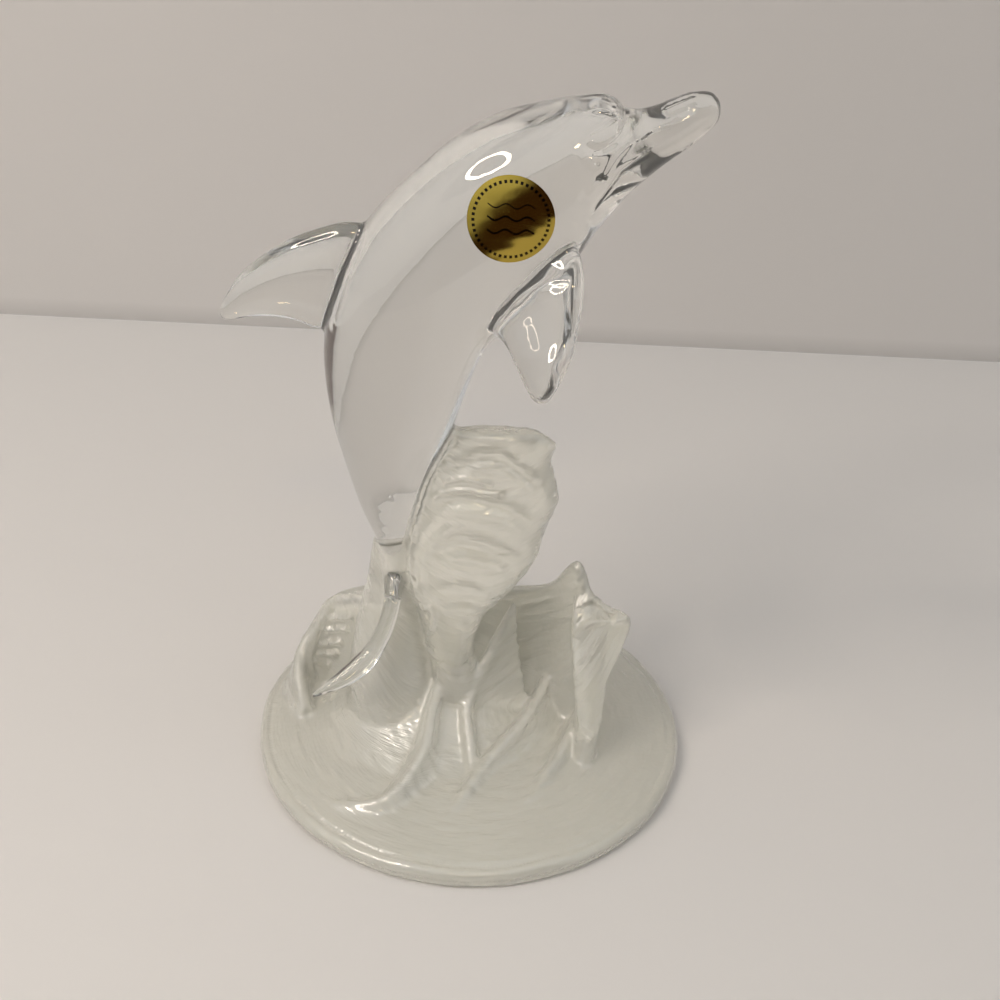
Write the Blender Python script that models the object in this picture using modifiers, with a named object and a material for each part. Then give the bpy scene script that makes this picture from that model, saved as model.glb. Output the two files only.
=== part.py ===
"""A clear glass dolphin leaping from frosted glass waves, with a round foil label on its flank.

The glass is one moulded piece: a turned base, the waves that rise from it, and the dolphin that
the waves hold by its tail and its belly. Each form is lofted through a few stations, and all are
joined into one solid. The label is a thin disc that follows the flank.
The dolphin's middle plane is Y = 0, its head points to +X, and it is seen from -Y.
"""
import math

import bmesh
import bpy
from mathutils import Vector
from mathutils.bvhtree import BVHTree

MM = 0.001
OBJECT_NAME = "dolphin_figurine"

# The joined forms are remeshed and smoothed, which rounds every inner corner as a mould does
MOULD_DETAIL = 0.8
MOULD_SMOOTHING = 4
FACET_SHARE = 0.062

# Base: a round foot with a flat underside and a rounded rim
BASE_RADIUS = 49.0
BASE_RIM_HEIGHT = 4.2
BASE_RIM_ROUND = 1.7
BASE_FOOT_INSET = 1.2
BASE_CENTRE_HEIGHT = 7.5
BASE_CENTRE_RADIUS = 30.0
BASE_SEGMENTS = 64
RIM_STEPS = 3
# The blank is this much deeper than the finished base, and its underside is ground flat
GRINDING = 3.0

# Every wave starts this far above the underside, inside the base
WAVE_FOOT = 2.0

# Body: back x, back z, belly x, belly z, half width
BODY = (
    (40.9, 153.9, 41.4, 151.6, 1.3),
    (39.6, 155.1, 40.9, 149.9, 2.7),
    (38.0, 155.4, 39.0, 147.7, 3.5),
    (35.2, 154.8, 36.3, 145.0, 4.3),
    (31.9, 153.3, 32.7, 142.2, 5.0),
    (28.6, 151.9, 29.4, 139.3, 6.0),
    (25.2, 151.2, 26.0, 136.1, 8.0),
    (21.4, 153.0, 23.2, 132.3, 9.8),
    (15.4, 153.1, 20.4, 128.3, 11.4),
    (7.6, 151.4, 17.3, 122.8, 12.8),
    (0.4, 149.0, 13.6, 117.2, 13.8),
    (-7.1, 144.3, 9.4, 112.3, 14.4),
    (-14.6, 137.3, 4.9, 107.8, 14.6),
    (-21.6, 129.9, 0.5, 102.5, 14.4),
    (-27.3, 121.0, -2.3, 95.5, 13.8),
    (-30.8, 111.5, -3.9, 89.9, 12.9),
    (-32.2, 102.0, -5.7, 84.0, 11.8),
    (-32.0, 93.0, -8.0, 77.8, 10.6),
    (-30.6, 83.3, -10.5, 71.6, 9.2),
    (-28.3, 74.2, -12.3, 64.4, 7.6),
    (-25.4, 64.2, -13.7, 57.0, 5.9),
    (-22.2, 56.0, -14.6, 51.2, 4.5),
    (-20.9, 49.0, -15.1, 46.0, 3.6),
    (-21.0, 43.0, -16.2, 40.0, 3.0),
    (-21.5, 37.5, -17.6, 35.0, 2.6),
    (-22.0, 32.0, -19.0, 30.0, 2.2),
)
BODY_RINGS = 37
BODY_SIDES = 24

# Dorsal fin: front edge x, z, rear edge x, z
DORSAL_FIN = (
    (-18.0, 124.5, -27.0, 105.0),
    (-26.0, 127.0, -33.6, 104.4),
    (-34.4, 124.7, -38.0, 105.9),
    (-40.6, 121.5, -42.8, 106.4),
    (-47.7, 115.9, -46.9, 106.0),
    (-51.8, 109.7, -50.4, 105.3),
    (-53.0, 106.6, -52.3, 105.3),
)
DORSAL_FIN_ROOT_THICKNESS = 8.5
DORSAL_FIN_TIP_THICKNESS = 2.4

# Pectoral fin on the near side: front edge x, y, z, rear edge x, y, z
PECTORAL_FIN = (
    (12.0, -4.0, 133.5, -2.0, -4.0, 115.5),
    (16.9, -10.6, 127.8, 1.4, -9.8, 110.3),
    (18.0, -15.2, 122.0, 4.1, -12.8, 108.8),
    (17.3, -18.6, 115.5, 6.2, -16.0, 106.2),
    (16.2, -21.8, 110.8, 7.6, -19.4, 104.7),
    (13.9, -24.2, 106.0, 9.2, -22.6, 103.2),
    (12.2, -25.0, 103.4, 10.5, -24.6, 102.8),
)
PECTORAL_FIN_ROOT_THICKNESS = 7.0
PECTORAL_FIN_TIP_THICKNESS = 2.4

# Tail fluke on the near side: front edge x, y, z, rear edge x, y, z
FLUKE = (
    (-15.4, 0.0, 46.5, -20.4, 0.0, 48.0),
    (-15.9, -5.0, 43.0, -19.7, -5.2, 43.6),
    (-16.8, -8.5, 38.3, -20.8, -8.5, 38.2),
    (-18.6, -11.0, 33.6, -23.2, -11.0, 33.6),
    (-21.2, -13.5, 29.4, -26.4, -13.5, 31.0),
    (-26.2, -16.0, 26.2, -30.0, -16.0, 28.3),
    (-31.0, -17.5, 24.9, -32.7, -17.5, 26.2),
    (-34.3, -18.0, 24.0, -34.6, -18.0, 24.4),
)
FLUKE_ROOT_THICKNESS = 4.4
FLUKE_TIP_THICKNESS = 1.8
BLADE_RINGS = 10
BLADE_SIDES = 14

# Swells lofted upwards: left x, right x, y, z, half depth
CENTRE_SWELL = (
    (-41.0, 26.0, 0.0, 2.0, 34.0),
    (-37.0, 21.0, 0.0, 5.2, 28.0),
    (-32.0, 14.0, 0.5, 7.8, 21.0),
    (-27.0, 7.0, 1.0, 11.4, 14.0),
    (-23.0, 0.0, 2.0, 16.4, 8.5),
    (-19.0, -5.0, 2.0, 21.4, 4.0),
)
TAIL_SLEEVE = (
    (-29.0, -7.0, 1.0, 8.0, 14.0),
    (-28.0, -9.0, 1.5, 22.0, 9.5),
    (-26.0, -12.0, 3.0, 34.0, 6.2),
    (-24.2, -13.2, 2.8, 42.0, 4.6),
    (-23.4, -13.0, 2.4, 49.0, 4.4),
    (-22.6, -13.4, 2.0, 53.0, 4.4),
)
SWELL_SIDES = 24

# Splash wave that holds the belly: left x, z, right x, z
SPLASH_WAVE = (
    (-11.0, 6.0, 7.0, 6.0),
    (-9.4, 22.0, 0.4, 24.0),
    (-12.4, 36.0, 2.2, 35.8),
    (-15.0, 43.0, 8.2, 43.6),
    (-15.8, 50.0, 13.0, 51.4),
    (-15.6, 57.0, 14.5, 58.4),
    (-15.0, 63.0, 17.0, 66.6),
    (-13.6, 70.0, 16.0, 72.4),
    (-11.6, 75.4, 14.9, 77.0),
    (-9.6, 79.6, 15.8, 80.4),
    (-7.0, 82.9, 12.0, 83.2),
)
SPLASH_WAVE_Y = -0.5
SPLASH_WAVE_THICKNESS = 14.0
SPLASH_CREST_THICKNESS = 5.0
SPLASH_RINGS = 17
SPLASH_SIDES = 20

# Waves that run along a path: x, y, crest z, half thickness at the foot, lean of the crest
LEFT_WAVE = (
    (-38.0, -3.0, 8.0, 4.0, 0.0),
    (-40.6, 4.0, 13.0, 5.0, 0.0),
    (-40.6, 9.0, 17.4, 6.0, 0.5),
    (-38.4, 12.6, 21.4, 6.5, 1.0),
    (-35.2, 14.4, 26.9, 7.0, 1.0),
    (-31.6, 14.2, 29.0, 8.0, 1.0),
    (-26.0, 11.0, 31.2, 8.0, 0.5),
    (-20.5, 6.5, 33.0, 7.0, 0.0),
)
RIGHT_WAVE = (
    (-8.0, 22.0, 20.0, 9.0, 0.0),
    (0.0, 20.0, 27.0, 11.0, 0.5),
    (6.5, 16.5, 32.0, 12.0, 1.5),
    (15.8, 12.0, 36.6, 13.0, 1.5),
    (19.2, 9.4, 40.4, 11.0, 1.0),
    (22.8, 5.4, 47.6, 8.5, 0.5),
    (25.6, 2.4, 41.0, 6.0, 0.0),
    (28.6, 0.6, 39.8, 3.5, 0.0),
)
# The rough end of the right wave, lofted upwards: left x, y, z, right x, y, z
RIGHT_WAVE_END = (
    (23.6, -13.0, 5.0, 28.4, -12.0, 5.0),
    (24.0, -9.6, 13.8, 29.8, -8.6, 13.6),
    (23.0, -6.2, 22.6, 30.3, -5.2, 22.2),
    (21.8, -2.2, 30.8, 33.9, -1.8, 29.9),
    (22.0, 1.2, 37.2, 35.3, -1.0, 34.0),
    (23.4, 3.4, 41.4, 35.2, -0.8, 36.8),
)
RIGHT_WAVE_END_THICKNESS = 9.0
RIGHT_WAVE_TIP_THICKNESS = 2.6
FRONT_RIDGE_LEFT = (
    (-35.5, -27.0, 4.6, 5.0, 0.0),
    (-27.9, -30.6, 6.4, 6.0, 0.0),
    (-18.2, -31.0, 9.4, 7.0, 0.5),
    (-13.4, -25.7, 12.2, 8.0, 1.0),
    (-10.2, -18.6, 15.2, 8.5, 1.0),
    (-8.8, -11.3, 18.0, 8.0, 0.5),
    (-7.0, -3.0, 20.5, 7.0, 0.0),
)
FRONT_RIDGE_MIDDLE = (
    (-6.4, -39.0, 4.8, 4.0, 0.0),
    (-1.0, -28.6, 8.6, 6.0, 0.5),
    (2.9, -20.2, 11.2, 7.0, 1.0),
    (7.1, -14.4, 13.0, 7.5, 1.0),
    (13.7, -4.8, 14.8, 8.0, 0.5),
    (19.0, 8.0, 17.0, 8.0, 0.0),
)
FRONT_RIDGE_RIGHT = (
    (4.6, -41.0, 4.4, 3.5, 0.0),
    (10.0, -31.6, 7.2, 5.0, 0.5),
    (14.6, -25.2, 8.8, 6.0, 1.0),
    (20.6, -14.0, 10.6, 6.0, 0.5),
    (26.0, -2.0, 13.0, 6.0, 0.0),
)
STEM_RIDGE = (
    (9.0, 6.0, 35.0, 7.0, 0.0),
    (3.4, 0.0, 26.0, 7.0, 0.0),
    (-0.6, -7.0, 18.4, 7.0, 0.0),
    (0.4, -15.0, 13.0, 6.0, 0.0),
    (2.0, -24.0, 7.0, 4.0, 0.0),
)
BACK_RIDGE_LEFT = (
    (-14.0, 41.0, 4.6, 4.0, 0.0),
    (-15.0, 31.0, 9.6, 7.0, -0.5),
    (-12.4, 21.0, 15.0, 8.0, -1.0),
    (-9.0, 10.0, 20.0, 8.0, 0.0),
)
BACK_RIDGE_RIGHT = (
    (24.0, 34.0, 4.8, 4.0, 0.0),
    (15.0, 31.0, 9.6, 6.5, -0.5),
    (8.0, 25.0, 15.0, 8.0, -1.0),
    (2.0, 17.0, 20.0, 8.0, 0.0),
)
RIDGE_CREST_THICKNESS = 4.6
WALL_CREST_THICKNESS = 3.0
WALL_LEVELS = 5
WALL_STATIONS_PER_SPAN = 2

# Foil label: a disc on the near flank. Its place is a share of the body's length, from the beak,
# and a share of the body's half depth, from the middle towards the back
LABEL_PLACE = 0.412
LABEL_RAISE = 0.168
LABEL_PLACE_STEPS = 500
LABEL_DIAMETER = 16.0
LABEL_THICKNESS = 0.3
LABEL_GAP = 0.3
LABEL_SEGMENTS = 28
LABEL_RINGS = 4

# Colours: linear RGB
GLASS_COLOUR = (0.86, 0.9, 0.88)
FOIL_COLOUR = (0.55, 0.42, 0.12)


def clear_scene():
    for obj in list(bpy.data.objects):
        bpy.data.objects.remove(obj, do_unlink=True)


def new_collection(name):
    collection = bpy.data.collections.new(name)
    bpy.context.scene.collection.children.link(collection)
    return collection


def principled(name, colour, roughness, metallic=0.0, transmission=0.0):
    material = bpy.data.materials.new(name)
    material.use_nodes = True
    shader = material.node_tree.nodes["Principled BSDF"]
    shader.inputs["Base Color"].default_value = (*colour, 1.0)
    shader.inputs["Roughness"].default_value = roughness
    shader.inputs["Metallic"].default_value = metallic
    shader.inputs["Transmission Weight"].default_value = transmission
    return material


def spline_rows(rows, count):
    """Rows read along a smooth curve through the given rows, which it passes through in order."""
    padded = [rows[0], *rows, rows[-1]]
    spans = len(rows) - 1
    result = []
    for step in range(count):
        place = spans * step / (count - 1)
        span = min(int(place), spans - 1)
        t = place - span
        weights = (
            -0.5 * t + t * t - 0.5 * t ** 3,
            1.0 - 2.5 * t * t + 1.5 * t ** 3,
            0.5 * t + 2.0 * t * t - 1.5 * t ** 3,
            -0.5 * t * t + 0.5 * t ** 3,
        )
        group = padded[span:span + 4]
        result.append([
            sum(weight * row[column] for weight, row in zip(weights, group))
            for column in range(len(rows[0]))
        ])
    return result


def ellipse_ring(side_a, side_b, across, sides):
    """Ellipse with side_a to side_b as one axis and the vector across as half of the other."""
    centre = (side_a + side_b) / 2
    half = (side_a - side_b) / 2
    return [
        centre + half * math.cos(math.tau * i / sides) + across * math.sin(math.tau * i / sides)
        for i in range(sides)
    ]


def loft(name, rings, collection):
    """Closed solid through rings of equally many points, in millimetres."""
    mesh = bpy.data.meshes.new(name)
    shape = bmesh.new()
    sides = len(rings[0])
    loops = [[shape.verts.new(point * MM) for point in ring] for ring in rings]
    for lower, upper in zip(loops, loops[1:]):
        for i in range(sides):
            j = (i + 1) % sides
            shape.faces.new((lower[i], lower[j], upper[j], upper[i]))
    shape.faces.new(loops[0])
    shape.faces.new(loops[-1])
    bmesh.ops.recalc_face_normals(shape, faces=shape.faces)
    shape.to_mesh(mesh)
    shape.free()
    obj = bpy.data.objects.new(name, mesh)
    collection.objects.link(obj)
    return obj


def eased(start, end, share):
    """Thickness between two ends, which falls slowly at first."""
    return start + (end - start) * share * share


def blade(name, edges, root_thickness, tip_thickness, rings, sides, collection):
    """Fin or slab lofted between two edges, thick at its root and thin at its tip."""
    rows = spline_rows(edges, rings)
    chords = [(Vector(row[:3]), Vector(row[3:])) for row in rows]
    centres = [(a + b) / 2 for a, b in chords]
    loops = []
    for i, (front, rear) in enumerate(chords):
        span = centres[min(i + 1, rings - 1)] - centres[max(i - 1, 0)]
        across = (front - rear).cross(span).normalized()
        half = eased(root_thickness, tip_thickness, i / (rings - 1)) / 2
        loops.append(ellipse_ring(front, rear, across * half, sides))
    return loft(name, loops, collection)


def mirrored_copy(obj, name, collection):
    """Copy on the other side of the middle plane."""
    mesh = obj.data.copy()
    shape = bmesh.new()
    shape.from_mesh(mesh)
    for vertex in shape.verts:
        vertex.co.y = -vertex.co.y
    bmesh.ops.reverse_faces(shape, faces=shape.faces)
    shape.to_mesh(mesh)
    shape.free()
    copy = bpy.data.objects.new(name, mesh)
    collection.objects.link(copy)
    return copy


def swell(name, levels, collection):
    """Frosted mass lofted upwards through level ellipses."""
    loops = []
    for left, right, y, z, half_depth in levels:
        loops.append(ellipse_ring(
            Vector((left, y, z)), Vector((right, y, z)), Vector((0, half_depth, 0)), SWELL_SIDES))
    return loft(name, loops, collection)


def wave_wall(name, path, crest_thickness, collection):
    """Wave along a path: it flares at its foot, and its crest is thin and leans to one side."""
    rows = spline_rows(path, (len(path) - 1) * WALL_STATIONS_PER_SPAN + 1)
    loops = []
    for i, (x, y, crest, foot_half, lean) in enumerate(rows):
        ahead = rows[min(i + 1, len(rows) - 1)]
        behind = rows[max(i - 1, 0)]
        normal = Vector((ahead[1] - behind[1], behind[0] - ahead[0], 0)).normalized()
        near = []
        far = []
        for level in range(WALL_LEVELS):
            share = level / (WALL_LEVELS - 1)
            middle = Vector((x, y, WAVE_FOOT + (crest - WAVE_FOOT) * share))
            middle += normal * lean * share * share
            half = crest_thickness / 2 + (foot_half - crest_thickness / 2) * (1 - share) ** 2
            if level == WALL_LEVELS - 1:
                half *= 0.4
            near.append(middle + normal * half)
            far.append(middle - normal * half)
        loops.append(near + far[::-1])
    return loft(name, loops, collection)


def build_base(collection):
    """Turned blank of the base, from its profile."""
    corner = BASE_RIM_ROUND
    profile = [(0.0, BASE_CENTRE_HEIGHT), (BASE_CENTRE_RADIUS, BASE_CENTRE_HEIGHT - 1.0)]
    for step in range(RIM_STEPS + 1):
        angle = math.radians(90 - 90 * step / RIM_STEPS)
        profile.append((
            BASE_RADIUS - corner + corner * math.cos(angle),
            BASE_RIM_HEIGHT - corner + corner * math.sin(angle),
        ))
    for step in range(RIM_STEPS + 1):
        angle = math.radians(90 * step / RIM_STEPS)
        profile.append((
            BASE_RADIUS - BASE_FOOT_INSET + BASE_FOOT_INSET * math.cos(angle),
            BASE_FOOT_INSET - BASE_FOOT_INSET * math.sin(angle),
        ))
    profile.append((BASE_RADIUS - BASE_FOOT_INSET, -GRINDING))
    profile.append((0.0, -GRINDING))
    mesh = bpy.data.meshes.new("glass_dolphin")
    mesh.from_pydata(
        [(x * MM, 0, z * MM) for x, z in profile],
        [(i, i + 1) for i in range(len(profile) - 1)],
        [],
    )
    base = bpy.data.objects.new("glass_dolphin", mesh)
    collection.objects.link(base)
    screw = base.modifiers.new("turned", "SCREW")
    screw.axis = "Z"
    screw.angle = math.tau
    screw.steps = BASE_SEGMENTS
    screw.render_steps = BASE_SEGMENTS
    screw.use_merge_vertices = True
    screw.merge_threshold = 0.0001
    screw.use_smooth_shade = False
    return base


def build_body(collection):
    """Body from the beak to the tail, as ellipses that reach from the back to the belly."""
    loops = []
    for back_x, back_z, belly_x, belly_z, half_width in spline_rows(BODY, BODY_RINGS):
        loops.append(ellipse_ring(
            Vector((back_x, 0, back_z)), Vector((belly_x, 0, belly_z)),
            Vector((0, half_width, 0)), BODY_SIDES))
    return loft("body_form", loops, collection)


def build_fins(collection):
    dorsal_edges = [(fx, 0, fz, rx, 0, rz) for fx, fz, rx, rz in DORSAL_FIN]
    blade("dorsal_fin_form", dorsal_edges, DORSAL_FIN_ROOT_THICKNESS,
          DORSAL_FIN_TIP_THICKNESS, BLADE_RINGS, BLADE_SIDES, collection)
    near_fin = blade("near_fin_form", PECTORAL_FIN, PECTORAL_FIN_ROOT_THICKNESS,
                     PECTORAL_FIN_TIP_THICKNESS, BLADE_RINGS, BLADE_SIDES, collection)
    mirrored_copy(near_fin, "far_fin_form", collection)
    near_fluke = blade("near_fluke_form", FLUKE, FLUKE_ROOT_THICKNESS,
                       FLUKE_TIP_THICKNESS, BLADE_RINGS, BLADE_SIDES, collection)
    mirrored_copy(near_fluke, "far_fluke_form", collection)


def build_waves(collection):
    swell("centre_swell_form", CENTRE_SWELL, collection)
    swell("tail_sleeve_form", TAIL_SLEEVE, collection)
    splash_edges = [
        (left, SPLASH_WAVE_Y, left_z, right, SPLASH_WAVE_Y, right_z)
        for left, left_z, right, right_z in SPLASH_WAVE
    ]
    blade("splash_wave_form", splash_edges, SPLASH_WAVE_THICKNESS,
          SPLASH_CREST_THICKNESS, SPLASH_RINGS, SPLASH_SIDES, collection)
    blade("right_wave_end_form", RIGHT_WAVE_END, RIGHT_WAVE_END_THICKNESS,
          RIGHT_WAVE_TIP_THICKNESS, BLADE_RINGS, BLADE_SIDES, collection)
    wave_wall("left_wave_form", LEFT_WAVE, WALL_CREST_THICKNESS, collection)
    wave_wall("right_wave_form", RIGHT_WAVE, WALL_CREST_THICKNESS, collection)
    ridges = {
        "front_ridge_left_form": FRONT_RIDGE_LEFT,
        "front_ridge_middle_form": FRONT_RIDGE_MIDDLE,
        "front_ridge_right_form": FRONT_RIDGE_RIGHT,
        "stem_ridge_form": STEM_RIDGE,
        "back_ridge_left_form": BACK_RIDGE_LEFT,
        "back_ridge_right_form": BACK_RIDGE_RIGHT,
    }
    for name, path in ridges.items():
        wave_wall(name, path, RIDGE_CREST_THICKNESS, collection)


def hide_guides(collection):
    for guide in collection.objects:
        guide.hide_render = True
        guide.display_type = "WIRE"


def mould_glass(base, forms):
    """One solid of the base and every form, with its inner corners rounded."""
    union = base.modifiers.new("joined", "BOOLEAN")
    union.operation = "UNION"
    union.solver = "EXACT"
    union.operand_type = "COLLECTION"
    union.collection = forms
    remesh = base.modifiers.new("moulded", "REMESH")
    remesh.mode = "VOXEL"
    remesh.voxel_size = MOULD_DETAIL * MM
    smooth = base.modifiers.new("rounded", "SMOOTH")
    smooth.factor = 0.5
    smooth.iterations = MOULD_SMOOTHING
    decimate = base.modifiers.new("faceted", "DECIMATE")
    decimate.ratio = FACET_SHARE


def grind_underside(base, cutters):
    """Flat underside at Z = 0: what lies below it is cut away."""
    shape = bmesh.new()
    reach = BASE_RADIUS + GRINDING
    bmesh.ops.create_cube(shape, size=2.0)
    bmesh.ops.scale(shape, vec=(reach * MM, reach * MM, GRINDING * MM), verts=shape.verts)
    bmesh.ops.translate(shape, vec=(0, 0, -GRINDING * MM), verts=shape.verts)
    mesh = bpy.data.meshes.new("grinding_cutter")
    shape.to_mesh(mesh)
    shape.free()
    cutter = bpy.data.objects.new("grinding_cutter", mesh)
    cutters.objects.link(cutter)
    cut = base.modifiers.new("ground_flat", "BOOLEAN")
    cut.operation = "DIFFERENCE"
    cut.solver = "EXACT"
    cut.object = cutter


def label_place():
    """Point beside the body that faces the middle of the label."""
    rows = spline_rows(BODY, LABEL_PLACE_STEPS + 1)
    back_x, back_z, belly_x, belly_z, _ = rows[round(LABEL_PLACE * LABEL_PLACE_STEPS)]
    back_share = (1 + LABEL_RAISE) / 2
    x = belly_x + (back_x - belly_x) * back_share
    z = belly_z + (back_z - belly_z) * back_share
    return Vector((x, -BASE_RADIUS, z)) * MM


def build_label(glass, collection):
    """Foil disc laid on the flank: each point is dropped on the glass along the disc's own axis."""
    tree = BVHTree.FromObject(glass, bpy.context.evaluated_depsgraph_get())
    outside = label_place()
    seat, facing, _, _ = tree.ray_cast(outside, Vector((0, 1, 0)))
    along = facing.cross(Vector((0, 0, 1))).normalized()
    up = along.cross(facing)
    shape = bmesh.new()

    def laid(radius, angle):
        flat = (along * math.cos(angle) + up * math.sin(angle)) * radius * MM
        start = seat + flat + facing * BASE_RADIUS * MM
        hit = tree.ray_cast(start, -facing)[0]
        return shape.verts.new(hit + facing * LABEL_GAP * MM)

    middle = laid(0.0, 0.0)
    rings = []
    for ring in range(1, LABEL_RINGS + 1):
        radius = LABEL_DIAMETER / 2 * ring / LABEL_RINGS
        rings.append([laid(radius, math.tau * i / LABEL_SEGMENTS) for i in range(LABEL_SEGMENTS)])
    for i in range(LABEL_SEGMENTS):
        j = (i + 1) % LABEL_SEGMENTS
        shape.faces.new((middle, rings[0][i], rings[0][j]))
        for inner, outer in zip(rings, rings[1:]):
            shape.faces.new((inner[i], outer[i], outer[j], inner[j]))
    bmesh.ops.recalc_face_normals(shape, faces=shape.faces)
    mesh = bpy.data.meshes.new("foil_label")
    shape.to_mesh(mesh)
    shape.free()
    label = bpy.data.objects.new("foil_label", mesh)
    collection.objects.link(label)
    solidify = label.modifiers.new("foil", "SOLIDIFY")
    solidify.thickness = LABEL_THICKNESS * MM
    solidify.offset = 1.0 if mesh.polygons[0].normal.dot(facing) > 0 else -1.0
    return label


def build():
    clear_scene()
    parts = new_collection(OBJECT_NAME)
    forms = new_collection("forms")
    cutters = new_collection("cutters")
    glass = build_base(parts)
    build_body(forms)
    build_fins(forms)
    build_waves(forms)
    mould_glass(glass, forms)
    grind_underside(glass, cutters)
    hide_guides(forms)
    hide_guides(cutters)
    glass.data.materials.append(principled("clear_and_frosted_glass", GLASS_COLOUR, 0.2, 0.0, 1.0))
    label = build_label(glass, parts)
    label.data.materials.append(principled("gold_foil", FOIL_COLOUR, 0.25, 1.0))


build()
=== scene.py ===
import math

import bmesh
import bpy
import numpy as np
from mathutils import Matrix, Vector, noise
from mathutils.bvhtree import BVHTree


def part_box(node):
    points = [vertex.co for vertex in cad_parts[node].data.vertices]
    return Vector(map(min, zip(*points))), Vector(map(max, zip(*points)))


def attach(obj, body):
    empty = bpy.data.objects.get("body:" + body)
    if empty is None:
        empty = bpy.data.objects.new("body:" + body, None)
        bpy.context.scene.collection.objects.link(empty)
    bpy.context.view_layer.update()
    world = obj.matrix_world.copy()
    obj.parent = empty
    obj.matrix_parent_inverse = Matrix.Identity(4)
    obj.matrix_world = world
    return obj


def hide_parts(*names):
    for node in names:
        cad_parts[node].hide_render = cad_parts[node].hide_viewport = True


# Looks of the glass dolphin that leaps from frosted waves, with its round foil label.
# Sizes are in millimetres and are turned to metres with MM. The dolphin's middle plane is Y = 0.

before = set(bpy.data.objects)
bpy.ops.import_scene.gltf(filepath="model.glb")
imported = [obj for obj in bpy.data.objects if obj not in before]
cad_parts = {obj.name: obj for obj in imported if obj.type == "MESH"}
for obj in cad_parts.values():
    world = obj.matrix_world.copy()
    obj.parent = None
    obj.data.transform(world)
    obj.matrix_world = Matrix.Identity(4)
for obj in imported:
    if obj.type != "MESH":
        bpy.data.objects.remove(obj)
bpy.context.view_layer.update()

MM = 0.001

# The camera of the photograph, at its place by the fitted view
CAMERA_PLACE = (4.53, -269.68, 237.33)
CAMERA_PITCH = 32.479
CAMERA_ROLL = 2.772
CAMERA_LENS = 54.0

# Table and backdrop; the backdrop is painted darker towards its foot, painted shade where it meets the
# table
TABLE_FRONT = 310.0
TABLE_REACH = 1500.0
BACKDROP_Y = 210.0
BACKDROP_HEIGHT = 1100.0
# Height over which painted shade darkens the foot of the backdrop
BACKDROP_SHADE_HEIGHT = 7.0
TABLE_COLOUR = (0.62, 0.607, 0.595)
BACKDROP_COLOUR = (0.625, 0.61, 0.6)

# Ring lamp and warm lamp, by azimuth and elevation in degrees and distance
RING_LAMP_AZIMUTH = -52.0
RING_LAMP_ELEVATION = 50.0
RING_LAMP_DISTANCE = 760.0
RING_LAMP_RADIUS = 139.0
RING_LAMP_TUBE = 14.0
RING_LAMP_STRENGTH = 34.0
RING_LAMP_COLOUR = (1.0, 0.88, 0.76)
WARM_LAMP_AZIMUTH = 4.0
WARM_LAMP_ELEVATION = 49.0
WARM_LAMP_DISTANCE = 1400.0
WARM_LAMP_SIZE = 120.0
WARM_LAMP_POWER = 1.2
WARM_LAMP_COLOUR = (1.0, 0.78, 0.45)

# The room by height, from straight down at 0 to straight up at 1
ROOM_BRIGHTNESS = (
    (0.0, (0.30, 0.29, 0.28)),
    (0.45, (0.42, 0.42, 0.42)),
    (0.62, (0.52, 0.52, 0.53)),
    (0.75, (0.72, 0.73, 0.74)),
    (1.0, (0.84, 0.86, 0.88)),
)
# The dim end of the room: its middle, and the angles where it starts and is full
DIM_END_AZIMUTH = 17.0
DIM_END_ELEVATION = -2.0
DIM_END_OUTER = 38.0
DIM_END_INNER = 28.0
DIM_END_COLOUR = (0.045, 0.022, 0.016)

# How finely the glass is moulded, and what is left of each finish between the pressed lines
MOULD_DETAIL = 0.62
MOULD_SMOOTHING = 6
CLEAR_TRIANGLES = 32000
FROSTED_TRIANGLES = 68000
# How strictly the thinning keeps to its part of the glass
THINNING_GRIP = 100.0
# Glass nearer to the seam or to a pressed line than this isn't thinned
SEAM_MARGIN = 0.5
LINE_MARGIN = 1.0
# Lines that are this narrow and this high get finer faces, and so does the seam
FINE_LINE_HALF_WIDTH = 1.0
FINE_LINE_HEIGHT = 0.14
FINE_SEAM_WIDTH = 0.15

# Base: a round foot with a flat underside and a rounded rim
BASE_RADIUS = 49.0
BASE_RIM_HEIGHT = 4.2
BASE_RIM_ROUND = 1.7
BASE_FOOT_INSET = 1.2
BASE_CENTRE_HEIGHT = 7.5
BASE_CENTRE_RADIUS = 30.0
BASE_SIDES = 180
RIM_STEPS = 8
FOOT_STEPS = 4
GRINDING = 3.0
WAVE_FOOT = 2.0

# Body: back x, back z, belly x, belly z, half width
BODY = (
    (40.9, 153.9, 41.4, 151.6, 1.3),
    (39.6, 155.1, 40.9, 149.9, 2.7),
    (38.0, 155.4, 39.0, 147.7, 3.5),
    (35.2, 154.8, 36.3, 145.0, 4.3),
    (31.9, 153.3, 32.7, 142.2, 5.0),
    (28.6, 151.9, 29.4, 139.3, 6.0),
    (25.2, 151.2, 26.0, 136.1, 8.0),
    (21.4, 153.0, 23.2, 132.3, 9.8),
    (15.4, 153.1, 20.4, 128.3, 11.4),
    (7.6, 151.4, 17.3, 122.8, 12.8),
    (0.4, 149.0, 13.6, 117.2, 13.8),
    (-7.1, 144.3, 9.4, 112.3, 14.4),
    (-14.6, 137.3, 4.9, 107.8, 14.6),
    (-21.6, 129.9, 0.5, 102.5, 14.4),
    (-27.3, 121.0, -2.3, 95.5, 13.8),
    (-30.8, 111.5, -3.9, 89.9, 12.9),
    (-32.2, 102.0, -5.7, 84.0, 11.8),
    (-32.0, 93.0, -8.0, 77.8, 10.6),
    (-30.6, 83.3, -10.5, 71.6, 9.2),
    (-28.3, 74.2, -12.3, 64.4, 7.6),
    (-25.4, 64.2, -13.7, 57.0, 5.9),
    (-22.2, 56.0, -14.6, 51.2, 4.5),
    (-20.9, 49.0, -15.1, 46.0, 3.6),
    (-21.0, 43.0, -16.2, 40.0, 3.0),
    (-21.5, 37.5, -17.6, 35.0, 2.6),
    (-22.0, 32.0, -19.0, 30.0, 2.2),
)
BODY_RINGS = 120
BODY_SIDES = 56

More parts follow.
